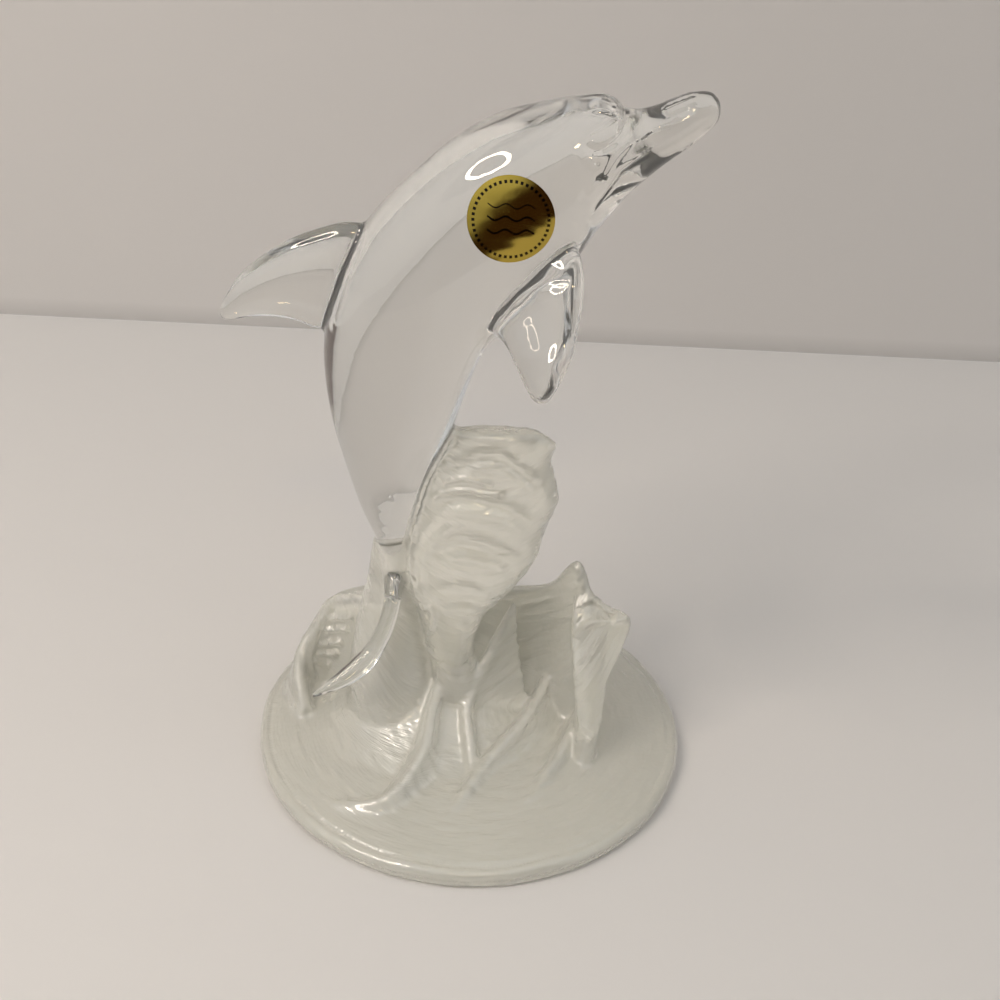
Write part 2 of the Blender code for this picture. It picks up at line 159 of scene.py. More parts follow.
# Dorsal fin: front edge x, z, rear edge x, z
DORSAL_FIN = (
    (-18.0, 124.5, -27.0, 105.0),
    (-26.0, 127.0, -33.6, 104.4),
    (-34.4, 124.7, -38.0, 105.9),
    (-40.6, 121.5, -42.8, 106.4),
    (-47.7, 115.9, -46.9, 106.0),
    (-51.8, 109.7, -50.4, 105.3),
    (-53.0, 106.6, -52.3, 105.3),
)
DORSAL_FIN_ROOT_THICKNESS = 8.5
DORSAL_FIN_TIP_THICKNESS = 2.4

# Pectoral fin on the near side: front edge x, y, z, rear edge x, y, z
PECTORAL_FIN = (
    (12.0, -4.0, 133.5, -2.0, -4.0, 115.5),
    (16.9, -10.6, 127.8, 1.4, -9.8, 110.3),
    (18.0, -15.2, 122.0, 4.1, -12.8, 108.8),
    (17.3, -18.6, 115.5, 6.2, -16.0, 106.2),
    (16.2, -21.8, 110.8, 7.6, -19.4, 104.7),
    (13.9, -24.2, 106.0, 9.2, -22.6, 103.2),
    (12.2, -25.0, 103.4, 10.5, -24.6, 102.8),
)
PECTORAL_FIN_ROOT_THICKNESS = 7.0
PECTORAL_FIN_TIP_THICKNESS = 2.4

# Tail fluke on the near side: front edge x, y, z, rear edge x, y, z
FLUKE = (
    (-15.4, 0.0, 46.5, -20.4, 0.0, 48.0),
    (-15.9, -5.0, 43.0, -19.7, -5.2, 43.6),
    (-16.8, -8.5, 38.3, -20.8, -8.5, 38.2),
    (-18.6, -11.0, 33.6, -23.2, -11.0, 33.6),
    (-21.2, -13.5, 29.4, -26.4, -13.5, 31.0),
    (-26.2, -16.0, 26.2, -30.0, -16.0, 28.3),
    (-31.0, -17.5, 24.9, -32.7, -17.5, 26.2),
    (-34.3, -18.0, 24.0, -34.6, -18.0, 24.4),
)
FLUKE_ROOT_THICKNESS = 4.4
FLUKE_TIP_THICKNESS = 1.8
BLADE_RINGS = 48
BLADE_SIDES = 40

# Swells lofted upwards: left x, right x, y, z, half depth
CENTRE_SWELL = (
    (-41.0, 26.0, 0.0, 2.0, 34.0),
    (-37.0, 21.0, 0.0, 5.2, 28.0),
    (-32.0, 14.0, 0.5, 7.8, 21.0),
    (-27.0, 7.0, 1.0, 11.4, 14.0),
    (-23.0, 0.0, 2.0, 16.4, 8.5),
    (-19.0, -5.0, 2.0, 21.4, 4.0),
)
TAIL_SLEEVE = (
    (-29.0, -7.0, 1.0, 8.0, 14.0),
    (-28.0, -9.0, 1.5, 22.0, 9.5),
    (-26.0, -12.0, 3.0, 34.0, 6.2),
    (-24.2, -13.2, 2.8, 42.0, 4.6),
    (-23.4, -13.0, 2.4, 49.0, 4.4),
    (-22.6, -13.4, 2.0, 53.0, 4.4),
)
SWELL_RINGS = 22
SWELL_SIDES = 64

# Splash wave that holds the belly: left x, z, right x, z
SPLASH_WAVE = (
    (-11.0, 6.0, 7.0, 6.0),
    (-9.4, 22.0, 0.4, 24.0),
    (-12.4, 36.0, 2.2, 35.8),
    (-15.0, 43.0, 8.2, 43.6),
    (-15.8, 50.0, 13.0, 51.4),
    (-15.6, 57.0, 14.5, 58.4),
    (-15.0, 63.0, 17.0, 66.6),
    (-13.6, 70.0, 16.0, 72.4),
    (-11.6, 75.4, 14.9, 77.0),
    (-9.6, 79.6, 15.8, 80.4),
    (-7.0, 82.9, 12.0, 83.2),
)
SPLASH_WAVE_Y = -0.5
SPLASH_WAVE_THICKNESS = 14.0
SPLASH_CREST_THICKNESS = 5.0

# Waves along a path: x, y, crest z, half thickness at the foot, lean of the crest
LEFT_WAVE = (
    (-38.0, -3.0, 8.0, 4.0, 0.0),
    (-40.6, 4.0, 13.0, 5.0, 0.0),
    (-40.6, 9.0, 17.4, 6.0, 0.5),
    (-38.4, 12.6, 21.4, 6.5, 1.0),
    (-35.2, 14.4, 26.9, 7.0, 1.0),
    (-31.6, 14.2, 29.0, 8.0, 1.0),
    (-26.0, 11.0, 31.2, 8.0, 0.5),
    (-20.5, 6.5, 33.0, 7.0, 0.0),
)
RIGHT_WAVE = (
    (-8.0, 22.0, 20.0, 9.0, 0.0),
    (0.0, 20.0, 27.0, 11.0, 0.5),
    (6.5, 16.5, 32.0, 12.0, 1.5),
    (15.8, 12.0, 36.6, 13.0, 1.5),
    (19.2, 9.4, 40.4, 11.0, 1.0),
    (22.8, 5.4, 47.6, 8.5, 0.5),
    (25.6, 2.4, 41.0, 6.0, 0.0),
    (28.6, 0.6, 39.8, 3.5, 0.0),
)
RIGHT_WAVE_END = (
    (23.6, -13.0, 5.0, 28.4, -12.0, 5.0),
    (24.0, -9.6, 13.8, 29.8, -8.6, 13.6),
    (23.0, -6.2, 22.6, 30.3, -5.2, 22.2),
    (21.8, -2.2, 30.8, 33.9, -1.8, 29.9),
    (22.0, 1.2, 37.2, 35.3, -1.0, 34.0),
    (23.4, 3.4, 41.4, 35.2, -0.8, 36.8),
)
RIGHT_WAVE_END_THICKNESS = 9.0
RIGHT_WAVE_TIP_THICKNESS = 2.6
RIDGES = {
    "front_ridge_left": (
        (-35.5, -27.0, 4.6, 5.0, 0.0),
        (-27.9, -30.6, 6.4, 6.0, 0.0),
        (-18.2, -31.0, 9.4, 7.0, 0.5),
        (-13.4, -25.7, 12.2, 8.0, 1.0),
        (-10.2, -18.6, 15.2, 8.5, 1.0),
        (-8.8, -11.3, 18.0, 8.0, 0.5),
        (-7.0, -3.0, 20.5, 7.0, 0.0),
    ),
    "front_ridge_middle": (
        (-6.4, -39.0, 4.8, 4.0, 0.0),
        (-1.0, -28.6, 8.6, 6.0, 0.5),
        (2.9, -20.2, 11.2, 7.0, 1.0),
        (7.1, -14.4, 13.0, 7.5, 1.0),
        (13.7, -4.8, 14.8, 8.0, 0.5),
        (19.0, 8.0, 17.0, 8.0, 0.0),
    ),
    "front_ridge_right": (
        (4.6, -41.0, 4.4, 3.5, 0.0),
        (10.0, -31.6, 7.2, 5.0, 0.5),
        (14.6, -25.2, 8.8, 6.0, 1.0),
        (20.6, -14.0, 10.6, 6.0, 0.5),
        (26.0, -2.0, 13.0, 6.0, 0.0),
    ),
    "stem_ridge": (
        (9.0, 6.0, 35.0, 7.0, 0.0),
        (3.4, 0.0, 26.0, 7.0, 0.0),
        (-0.6, -7.0, 18.4, 7.0, 0.0),
        (0.4, -15.0, 13.0, 6.0, 0.0),
        (2.0, -24.0, 7.0, 4.0, 0.0),
    ),
    "back_ridge_left": (
        (-14.0, 41.0, 4.6, 4.0, 0.0),
        (-15.0, 31.0, 9.6, 7.0, -0.5),
        (-12.4, 21.0, 15.0, 8.0, -1.0),
        (-9.0, 10.0, 20.0, 8.0, 0.0),
    ),
    "back_ridge_right": (
        (24.0, 34.0, 4.8, 4.0, 0.0),
        (15.0, 31.0, 9.6, 6.5, -0.5),
        (8.0, 25.0, 15.0, 8.0, -1.0),
        (2.0, 17.0, 20.0, 8.0, 0.0),
    ),
}
RIDGE_CREST_THICKNESS = 2.4
RIDGE_FOOT_SPREAD = 1.45
RIDGE_SINK = 1.5
WALL_CREST_THICKNESS = 3.0
WALL_LEVELS = 12
WALL_STATIONS_PER_SPAN = 5

# Lines pressed into the glass: height above the form, half width, and places on the near side.
# A height below 0 is a groove.
WAVE_LINES = {
    "splash_arc_upper": (0.6, 0.65, (
        (-7.5, -4.1, 71.8), (-5.6, -4.4, 72.8), (-3.4, -4.7, 73.6), (-0.9, -4.9, 73.4),
        (1.5, -5.1, 72.9), (3.1, -5.1, 72.5),
    )),
    "splash_arc_lower": (0.6, 0.65, (
        (-9.7, -4.0, 67.2), (-8.5, -4.2, 68.9), (-6.6, -4.6, 69.9), (-4.3, -4.9, 70.7),
        (-1.8, -5.1, 71.0), (0.7, -5.3, 70.6), (4.1, -5.3, 70.0),
    )),
    "splash_tongue": (0.55, 1.1, (
        (-11.0, -5.4, 42.3), (-11.3, -5.1, 47.4), (-11.2, -4.9, 52.1), (-9.9, -5.1, 55.9),
        (-7.8, -5.4, 59.3), (-5.7, -5.6, 61.6), (-3.2, -5.7, 63.4),
    )),
    "splash_rim": (0.9, 0.8, (
        (-5.2, -1.6, 83.0), (-6.2, -2.4, 81.0), (-7.7, -3.0, 78.9), (-9.3, -3.4, 76.1),
        (-10.7, -3.4, 72.4), (-11.9, -3.6, 68.2), (-12.9, -3.3, 63.5), (-13.5, -3.3, 59.1),
        (-13.9, -3.3, 54.7), (-13.8, -3.5, 50.1), (-13.1, -4.1, 45.3), (-12.1, -4.4, 40.9),
    )),
    "splash_hook": (0.8, 0.8, (
        (-12.1, -4.4, 40.6), (-11.0, -5.2, 40.0), (-9.6, -6.0, 40.9), (-8.7, -6.4, 39.1),
        (-8.9, -6.3, 36.2), (-10.0, -4.3, 31.0), (-9.6, -4.0, 28.0), (-8.1, -5.9, 27.3),
        (-6.7, -6.9, 26.4),
    )),
    "comb_rib_1": (1.3, 0.85, (
        (-34.6, 12.3, 22.9), (-32.6, 12.1, 23.5), (-30.4, 11.1, 24.0), (-28.2, 10.0, 25.3),
    )),
    "comb_rib_2": (1.3, 0.85, (
        (-35.7, 11.7, 19.7), (-33.6, 11.8, 19.8), (-31.4, 11.1, 20.7), (-29.4, 10.1, 21.4),
    )),
    "comb_rib_3": (1.4, 0.85, (
        (-37.1, 10.6, 16.4), (-35.5, 11.3, 15.9), (-33.4, 11.3, 16.3), (-30.9, 10.3, 17.5),
    )),
    "comb_rib_4": (1.3, 0.8, (
        (-37.3, 9.9, 13.9), (-35.8, 10.9, 13.5), (-33.6, 10.8, 13.4), (-31.9, 10.1, 14.3),
    )),
    "comb_rib_5": (1.3, 0.8, (
        (-38.1, 8.8, 12.9), (-36.7, 10.0, 11.5), (-35.1, 10.4, 10.6), (-33.8, 10.0, 10.4),
    )),
    "comb_rim": (0.8, 0.9, (
        (-33.4, 12.6, 25.7), (-35.3, 12.3, 23.4), (-36.7, 11.6, 20.9), (-37.8, 10.4, 17.9),
        (-38.4, 9.3, 15.7), (-38.7, 8.1, 13.7), (-38.3, 7.9, 10.9), (-37.2, 7.7, 8.0),
        (-35.4, 4.8, 9.0),
    )),
    "end_left_edge": (0.6, 0.9, (
        (23.0, 2.4, 40.0), (22.9, 1.0, 38.2), (22.8, -1.4, 35.2), (22.8, -3.4, 31.7),
        (23.2, -5.6, 27.8), (24.0, -8.5, 21.7), (24.8, -10.9, 16.5), (25.7, -13.4, 12.8),
    )),
    "end_front_rim": (0.9, 0.8, (
        (23.2, -3.4, 32.3), (24.2, -2.6, 34.6), (26.3, -2.2, 36.1), (29.2, -2.1, 36.5),
        (32.0, -1.8, 36.7), (34.3, -1.0, 36.8),
    )),
    "end_right_edge": (0.6, 0.8, (
        (34.6, -1.3, 35.9), (32.6, -3.8, 29.2), (31.0, -5.6, 26.0), (29.8, -7.7, 23.6),
        (29.3, -9.4, 19.9), (28.9, -11.8, 16.0), (28.1, -13.5, 13.1), (26.9, -14.4, 11.7),
    )),
    "end_hollow": (-2.0, 2.4, (
        (26.3, 0.8, 40.0), (27.2, -0.2, 39.1), (29.5, -0.7, 38.5), (31.8, -1.0, 37.8),
    )),
}
DOLPHIN_LINES = {
    "melon_crease": (-0.5, 0.75, (
        (23.3, 0.3, 152.0), (23.9, -2.0, 151.5), (23.7, -5.0, 150.3), (23.0, -6.8, 149.2),
        (21.5, -8.3, 148.0), (19.3, -9.4, 146.9), (17.9, -9.6, 147.0), (16.4, -9.1, 147.8),
    )),
    "melon_lower_crease": (-0.25, 0.6, (
        (16.4, -9.1, 147.8), (17.4, -8.0, 149.3), (19.2, -7.0, 150.2), (20.9, -5.6, 151.1),
        (22.4, -3.8, 151.6),
    )),
    "upper_jaw_line": (0.2, 0.5, (
        (37.2, -3.7, 151.8), (34.5, -4.1, 151.1), (32.2, -4.3, 150.5), (30.1, -4.5, 149.9),
        (28.3, -4.9, 149.2), (26.7, -5.9, 148.3), (25.3, -6.7, 147.8), (23.9, -8.0, 146.7),
        (22.5, -9.2, 145.4), (21.4, -9.9, 143.7), (20.8, -10.3, 142.3),
    )),
    "mouth": (-0.3, 0.6, (
        (39.4, -3.0, 151.9), (37.3, -3.8, 150.5), (35.3, -4.3, 149.1), (33.0, -4.8, 147.7),
        (30.4, -5.5, 146.5), (28.6, -6.2, 145.7), (26.8, -7.1, 144.8), (24.7, -8.4, 143.7),
        (23.3, -9.2, 142.8), (22.1, -9.7, 141.0), (21.0, -10.0, 139.2), (19.7, -10.3, 137.3),
        (18.7, -10.3, 135.4), (18.2, -10.1, 133.5),
    )),
    "beak_ridge": (0.22, 0.55, (
        (30.8, -2.5, 152.0), (32.7, -2.2, 152.9), (34.4, -2.1, 153.7), (36.5, -1.7, 154.6),
    )),
    "beak_side_line": (-0.18, 0.45, (
        (31.5, -3.6, 151.3), (33.6, -3.4, 152.3), (35.3, -3.2, 153.0),
    )),
    "cheek": (-0.18, 1.0, (
        (19.6, -10.0, 145.5), (18.9, -10.7, 143.5), (17.9, -11.2, 141.4), (17.2, -11.5, 139.2),
        (16.4, -11.7, 136.9),
    )),
    "fin_crease": (-0.3, 1.3, (
        (3.4, -12.5, 114.3), (4.3, -12.3, 116.9), (5.5, -12.4, 119.1), (7.3, -12.7, 120.5),
        (10.0, -13.5, 122.1), (12.2, -14.0, 123.0), (14.0, -14.6, 123.4), (14.9, -15.2, 122.7),
    )),
    "fin_root_groove": (-0.16, 1.0, (
        (2.0, -11.4, 111.0), (1.7, -11.5, 113.8), (2.5, -12.6, 118.0), (4.3, -13.0, 121.6),
        (6.2, -13.1, 124.3), (8.6, -12.9, 127.1), (11.2, -12.5, 129.5), (13.6, -11.7, 130.4),
        (15.6, -10.6, 130.3),
    )),
    "dorsal_root_groove": (-0.3, 1.0, (
        (-24.3, -1.0, 126.3), (-25.1, -3.0, 124.2), (-26.3, -4.5, 120.7), (-27.3, -5.7, 116.4),
        (-29.0, -5.8, 111.1), (-30.3, -4.8, 107.1),
    )),
}
# Steps in the splash wave: depth, half width, and the places where the glass faces most upwards
WAVE_STEPS = (
    (0.6, 1.35, (
        (-3.6, -4.5, 74.9), (-1.0, -4.8, 76.5), (2.1, -5.0, 77.3), (5.2, -4.8, 76.6),
        (8.5, -4.5, 74.2), (11.7, -4.0, 71.1),
    )),
    (0.85, 1.8, (
        (-7.0, -4.8, 66.3), (-3.8, -5.3, 67.0), (0.4, -5.6, 66.9), (4.6, -5.6, 65.9),
        (9.0, -5.1, 63.3), (11.2, -4.4, 60.7),
    )),
    (0.72, 1.55, (
        (-7.7, -5.5, 53.2), (-4.5, -5.8, 55.7), (-1.3, -6.0, 55.7), (1.9, -6.0, 54.9),
        (5.2, -5.6, 53.2), (7.9, -5.0, 50.6),
    )),
    (0.58, 1.25, (
        (-7.4, -6.3, 41.5), (-4.2, -6.5, 42.4), (-1.3, -6.4, 42.5), (1.3, -6.0, 41.3),
    )),
)
# Grooves round the rim of the base: radius, height above the ground, depth, half width
RIM_GROOVES = ((46.6, 4.0, -0.28, 0.65), (49.0, 1.6, -0.25, 0.55))
RIM_GROOVE_SIDES = 24
# Eye: a low round swell with a pit in it, each with its height and half width
EYE = (18.8, -10.4, 144.7)
EYE_SWELL = (0.5, 1.2)
EYE_PIT = (-0.45, 0.55)
EYE_LENGTH = 0.05
# Melon: a swell from each side up to the middle
MELON = (19.6, -5.0, 151.6)
MELON_SWELL = (0.6, 2.6)
MELON_RISE = 0.6
# A pressed line is worked out as far as this many of its half widths, from so many places a point
DETAIL_REACH = 2.4
PLACES_PER_POINT = 14
# How steeply a line fades at its ends, and how soon
FADE_STEEPNESS = 2.2
FADE_ROUNDNESS = 0.7

# Ripples in the frosted glass: length and breadth on the base, and length, depth and rise on the waves
RIPPLE_HEIGHT = 0.25
RIPPLE_START = 0.3
BASE_RIPPLE = (9.0, 1.6)
WAVE_RIPPLE = (12.0, 6.0, 1.1)
WAVE_RIPPLE_PLACE = 7.0
DENT_WIDTH = 1.4
DENT_SHARE = 0.3
# The grain goes over from rings on the base to arcs on the waves between these heights
GRAIN_LOW = 8.0
GRAIN_CHANGE = 8.0
ARC_MIDDLE = 1.0
ARC_FALL = 0.03

# The frosted finish reaches this far past the seam, after so many rounds of evening out
FROST_EDGE = -0.7
FROST_SMOOTHING = 6
SPLASH_RIM_FROST = 1.2
SPLASH_RIM_FOOT = 44.0
SPLASH_RIM_CHANGE = 6.0

# Frosted finish: streaks along the grain and a fine grain over them
STREAK_SCALE = 1.25
STREAK_STRETCH = (0.16, 1.0, 0.2)
STREAK_DEPTH = 0.13
GRAIN_SCALE = 1100
GRAIN_DEPTH = 0.13

# Foil label
LABEL_DIAMETER = 16.0
LABEL_THICKNESS = 0.12
LABEL_GAP = 0.06
LABEL_SEGMENTS = 96
LABEL_RINGS = 20
LABEL_DENT = 0.05
LABEL_DENT_SIZE = (3.5, 2.0)
FOIL_COLOUR = (0.5, 0.37, 0.07)
PRINT_COLOUR = (0.035, 0.025, 0.012)
# Print on the label, in shares of its width: the dotted ring, and each wave's height and half width
RING_RADIUS = 0.43
RING_HALF_WIDTH = 0.018
RING_MARKS = 44
RING_MARK_LENGTH = -0.1
PRINTED_WAVES = ((0.02, 0.012), (-0.13, 0.012), (0.16, 0.008))
PRINTED_WAVE_TURNS = 26
PRINTED_WAVE_SWAY = 0.025
PRINTED_WAVE_REACH = 0.27


def deselect_all():
    if bpy.context.object and bpy.context.object.mode != "OBJECT":
        bpy.ops.object.mode_set(mode="OBJECT")
    bpy.ops.object.select_all(action="DESELECT")


def only(piece):
    deselect_all()
    piece.select_set(True)
    bpy.context.view_layer.objects.active = piece


def spline_rows(rows, count):
    """Rows read along a smooth curve through the given rows, which it passes through in order."""
    padded = [rows[0], *rows, rows[-1]]
    spans = len(rows) - 1
    result = []
    for step in range(count):
        place = spans * step / (count - 1)
        span = min(int(place), spans - 1)
        t = place - span
        weights = (
            -0.5 * t + t * t - 0.5 * t ** 3,
            1.0 - 2.5 * t * t + 1.5 * t ** 3,
            0.5 * t + 2.0 * t * t - 1.5 * t ** 3,
            -0.5 * t * t + 0.5 * t ** 3,
        )
        group = padded[span:span + 4]
        result.append([
            sum(weight * row[column] for weight, row in zip(weights, group))
            for column in range(len(rows[0]))
        ])
    return result


def ellipse_ring(side_a, side_b, across, sides):
    """Ellipse with side_a to side_b as one axis and the vector across as half of the other."""
    centre = (side_a + side_b) / 2
    half = (side_a - side_b) / 2
    return [
        centre + half * math.cos(math.tau * i / sides) + across * math.sin(math.tau * i / sides)
        for i in range(sides)
    ]


def drawn_form(name, rings):
    """Solid drawn out ring by ring: a filled circle is extruded, and each new loop takes its ring."""
    deselect_all()
    bpy.ops.mesh.primitive_circle_add(vertices=len(rings[0]), radius=MM, fill_type="NGON")
    form = bpy.context.object
    form.name = name
    for vertex, point in zip(form.data.vertices, rings[0]):
        vertex.co = point * MM
    bpy.ops.object.mode_set(mode="EDIT")
    bpy.ops.mesh.select_all(action="SELECT")
    for ring in rings[1:]:
        bpy.ops.mesh.extrude_region_move()
        shape = bmesh.from_edit_mesh(form.data)
        loop = [vertex for vertex in shape.verts if vertex.select]
        for vertex, point in zip(loop, ring):
            vertex.co = point * MM
        bmesh.update_edit_mesh(form.data)
    bpy.ops.mesh.select_all(action="SELECT")
    bpy.ops.mesh.normals_make_consistent(inside=False)
    bpy.ops.object.mode_set(mode="OBJECT")
    return form


def blade_rings(rows, sides):
    """Ellipses between two edges: front x, y, z, rear x, y, z, thickness."""
    centres = [(Vector(row[:3]) + Vector(row[3:6])) / 2 for row in rows]
    rings = []
    for i, row in enumerate(rows):
        front = Vector(row[:3])
        rear = Vector(row[3:6])
        span = centres[min(i + 1, len(rows) - 1)] - centres[max(i - 1, 0)]
        across = (front - rear).cross(span).normalized()
        rings.append(ellipse_ring(front, rear, across * row[6] / 2, sides))
    return rings


def fin_form(name, edges, root_thickness, tip_thickness):
    """Fin that is thick at its root and thin at its tip."""
    rows = spline_rows(edges, BLADE_RINGS)
    for i, row in enumerate(rows):
        share = i / (BLADE_RINGS - 1)
        row.append(root_thickness + (tip_thickness - root_thickness) * share * share)
    return drawn_form(name, blade_rings(rows, BLADE_SIDES))


def mirrored_form(form, name):
    """Copy of a form on the other side of the dolphin's middle plane."""
    only(form)
    bpy.ops.object.duplicate()
    copy = bpy.context.object
    copy.name = name
    bpy.ops.object.mode_set(mode="EDIT")
    bpy.ops.mesh.select_all(action="SELECT")
    bpy.ops.transform.mirror(constraint_axis=(False, True, False), center_override=(0, 0, 0))
    bpy.ops.mesh.normals_make_consistent(inside=False)
    bpy.ops.object.mode_set(mode="OBJECT")
    return copy


def swell_form(name, levels):
    rings = [
        ellipse_ring(Vector((left, y, z)), Vector((right, y, z)), Vector((0, depth, 0)), SWELL_SIDES)
        for left, right, y, z, depth in spline_rows(levels, SWELL_RINGS)
    ]
    return drawn_form(name, rings)


def wave_form(name, path, crest_thickness):
    """Wave along a path: it flares at its foot, and its round crest leans to one side."""
    rows = spline_rows(path, (len(path) - 1) * WALL_STATIONS_PER_SPAN + 1)
    rings = []
    for i, (x, y, crest, foot_half, lean) in enumerate(rows):
        ahead = rows[min(i + 1, len(rows) - 1)]
        behind = rows[max(i - 1, 0)]
        normal = Vector((ahead[1] - behind[1], behind[0] - ahead[0], 0)).normalized()
        crest_half = crest_thickness / 2
        height = crest - WAVE_FOOT
        near = []
        far = []
        for level in range(WALL_LEVELS):
            share = 1 - (1 - level / (WALL_LEVELS - 1)) ** 1.5
            middle = Vector((x, y, WAVE_FOOT + height * share))
            middle += normal * lean * share * share
            half = crest_half + (foot_half - crest_half) * (1 - share) ** 2
            below_top = height * (1 - share)
            if below_top < crest_half:
                half *= math.sqrt(max(1 - (1 - below_top / crest_half) ** 2, 0.01))
            near.append(middle + normal * half)
            far.append(middle - normal * half)
        rings.append(near + far[::-1])
    return drawn_form(name, rings)


def base_form():
    """Turned blank of the base: a disc, widened ring by ring down its profile."""
    corner = BASE_RIM_ROUND
    profile = [(1.0, BASE_CENTRE_HEIGHT), (BASE_CENTRE_RADIUS, BASE_CENTRE_HEIGHT - 1.0)]
    for step in range(RIM_STEPS + 1):
        angle = math.radians(90 - 90 * step / RIM_STEPS)
        profile.append((
            BASE_RADIUS - corner + corner * math.cos(angle),
            BASE_RIM_HEIGHT - corner + corner * math.sin(angle),
        ))
    for step in range(FOOT_STEPS + 1):
        angle = math.radians(90 * step / FOOT_STEPS)
        profile.append((
            BASE_RADIUS - BASE_FOOT_INSET + BASE_FOOT_INSET * math.cos(angle),
            BASE_FOOT_INSET - BASE_FOOT_INSET * math.sin(angle),
        ))
    profile.append((BASE_RADIUS - BASE_FOOT_INSET, -GRINDING))
    turns = [math.tau * i / BASE_SIDES for i in range(BASE_SIDES)]
    rings = [[Vector((r * math.cos(turn), r * math.sin(turn), z)) for turn in turns] for r, z in profile]
    return drawn_form("base_form", rings)


def dolphin_forms():
    rings = []
    for back_x, back_z, belly_x, belly_z, half_width in spline_rows(BODY, BODY_RINGS):
        rings.append(ellipse_ring(
            Vector((back_x, 0, back_z)), Vector((belly_x, 0, belly_z)),
            Vector((0, half_width, 0)), BODY_SIDES))
    body = drawn_form("body_form", rings)
    dorsal = fin_form("dorsal_fin_form", [(fx, 0, fz, rx, 0, rz) for fx, fz, rx, rz in DORSAL_FIN],
                      DORSAL_FIN_ROOT_THICKNESS, DORSAL_FIN_TIP_THICKNESS)
    near_fin = fin_form("near_fin_form", PECTORAL_FIN,
                        PECTORAL_FIN_ROOT_THICKNESS, PECTORAL_FIN_TIP_THICKNESS)
    near_fluke = fin_form("near_fluke_form", FLUKE, FLUKE_ROOT_THICKNESS, FLUKE_TIP_THICKNESS)
    return [
        body, dorsal, near_fin, mirrored_form(near_fin, "far_fin_form"),
        near_fluke, mirrored_form(near_fluke, "far_fluke_form"),
    ]


def wave_forms():
    splash_edges = [
        (left, SPLASH_WAVE_Y, left_z, right, SPLASH_WAVE_Y, right_z)
        for left, left_z, right, right_z in SPLASH_WAVE
    ]
    forms = [
        swell_form("centre_swell_form", CENTRE_SWELL),
        swell_form("tail_sleeve_form", TAIL_SLEEVE),
        fin_form("splash_wave_form", splash_edges,
                 SPLASH_WAVE_THICKNESS, SPLASH_CREST_THICKNESS),
        fin_form("right_wave_end_form", RIGHT_WAVE_END,
                 RIGHT_WAVE_END_THICKNESS, RIGHT_WAVE_TIP_THICKNESS),
        wave_form("left_wave_form", LEFT_WAVE, WALL_CREST_THICKNESS),
        wave_form("right_wave_form", RIGHT_WAVE, WALL_CREST_THICKNESS),
    ]
    for name, path in RIDGES.items():
        soft_path = [
            (x, y, crest - RIDGE_SINK * math.sin(math.pi * i / (len(path) - 1)),
             foot_half * RIDGE_FOOT_SPREAD, lean)
            for i, (x, y, crest, foot_half, lean) in enumerate(path)
        ]
        forms.append(wave_form(name + "_form", soft_path, RIDGE_CREST_THICKNESS))
    return forms


def surface_tree(forms):
    """One search tree over the surfaces of several forms."""
    points = []
    faces = []
    for form in forms:
        first = len(points)
        points.extend(vertex.co.copy() for vertex in form.data.vertices)
        faces.extend([first + i for i in face.vertices] for face in form.data.polygons)
    return BVHTree.FromPolygons(points, faces)


def apply_all(piece):
    only(piece)
    for modifier in list(piece.modifiers):
        bpy.ops.object.modifier_apply(modifier=modifier.name)


def mould(base, forms):
    """The base and all forms joined into one solid with rounded inner corners, ground flat below."""
    pool = bpy.data.collections.new("forms")
    bpy.context.scene.collection.children.link(pool)
    for form in forms:
        pool.objects.link(form)
    union = base.modifiers.new("joined", "BOOLEAN")
    union.operation = "UNION"
    union.operand_type = "COLLECTION"
    union.collection = pool
    union.solver = "EXACT"
    remesh = base.modifiers.new("moulded", "REMESH")
    remesh.mode = "VOXEL"
    remesh.voxel_size = MOULD_DETAIL * MM
    smooth = base.modifiers.new("rounded", "SMOOTH")
    smooth.factor = 0.5
    smooth.iterations = MOULD_SMOOTHING
    apply_all(base)
    for form in forms:
        bpy.data.objects.remove(form)
    bpy.data.collections.remove(pool)
    bpy.ops.object.mode_set(mode="EDIT")
    bpy.ops.mesh.select_all(action="SELECT")
    bpy.ops.mesh.bisect(plane_co=(0, 0, 0), plane_no=(0, 0, 1), clear_inner=True, use_fill=True)
    bpy.ops.object.mode_set(mode="OBJECT")


def thin_out(piece, chosen, wanted):
    """The chosen part of the glass is thinned to about the wanted number of triangles."""
    total = 0
    inside = 0
    for face in piece.data.polygons:
        triangles = len(face.vertices) - 2
        total += triangles
        if all(chosen[i] for i in face.vertices):
            inside += triangles
    if inside > wanted:
        group = piece.vertex_groups.new(name="thinned")
        group.add([int(i) for i in np.nonzero(chosen)[0]], 1.0, "REPLACE")
        thin = piece.modifiers.new("thinned", "DECIMATE")
        thin.ratio = (total - inside + wanted) / total
        thin.vertex_group = group.name
        thin.vertex_group_factor = THINNING_GRIP
        apply_all(piece)
        piece.vertex_groups.clear()


def away_from(places, lines):
    """Rows of the glass that lie away from all pressed lines."""
    away = np.ones(len(places), dtype=bool)
    for _, half_width, points in lines:
        away[near_line(places, points, half_width + LINE_MARGIN)[0]] = False
    return away


def vertex_rows(piece, what):
    """Places or normals of all vertices, one row each."""
    values = np.empty(len(piece.data.vertices) * 3)
    piece.data.vertices.foreach_get(what, values)
    return values.reshape(-1, 3)


